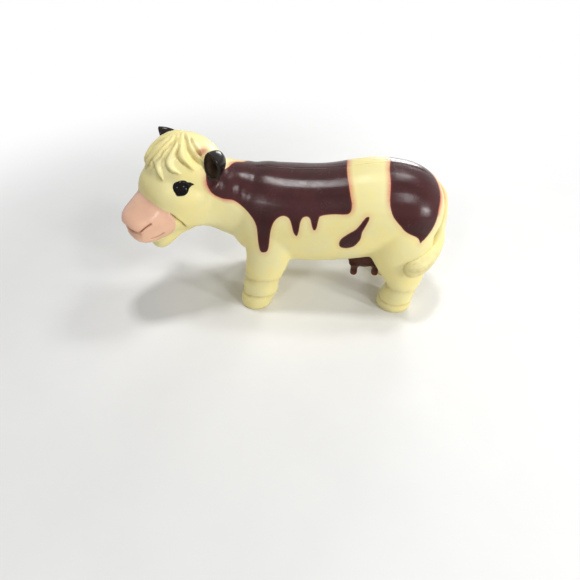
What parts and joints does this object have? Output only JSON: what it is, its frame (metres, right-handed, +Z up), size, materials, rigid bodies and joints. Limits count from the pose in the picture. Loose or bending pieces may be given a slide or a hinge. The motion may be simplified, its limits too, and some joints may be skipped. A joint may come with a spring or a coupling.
{
  "type": "toy cow figure",
  "caption": "Hollow moulded toy cow standing on four legs, with its head turned to the left, cupped ears, an udder and a tail in relief on the rump.",
  "frame": {"origin": "on the floor, under the centre of the whole cow's box", "axes": "-X towards the nose, +X towards the tail, -Y to the cow's left, +Z up"},
  "size_m": [0.1166, 0.0434, 0.0655],
  "materials": {
    "cream_vinyl": "satin, sprayed with glossy maroon patches and a pink muzzle",
    "maroon_vinyl": "glossy",
    "black_gloss": "glossy",
    "brown_vinyl": "satin"
  },
  "bodies": {
    "root": {"left_body_shell": "cream_vinyl", "right_body_shell": "cream_vinyl", "head_shell": "cream_vinyl", "tail": "cream_vinyl", "spine_strip": "maroon_vinyl", "left_ear": "black_gloss", "right_ear": "black_gloss", "left_eye": "black_gloss", "right_eye": "black_gloss", "udder": "brown_vinyl"}
  },
  "joints": []
}
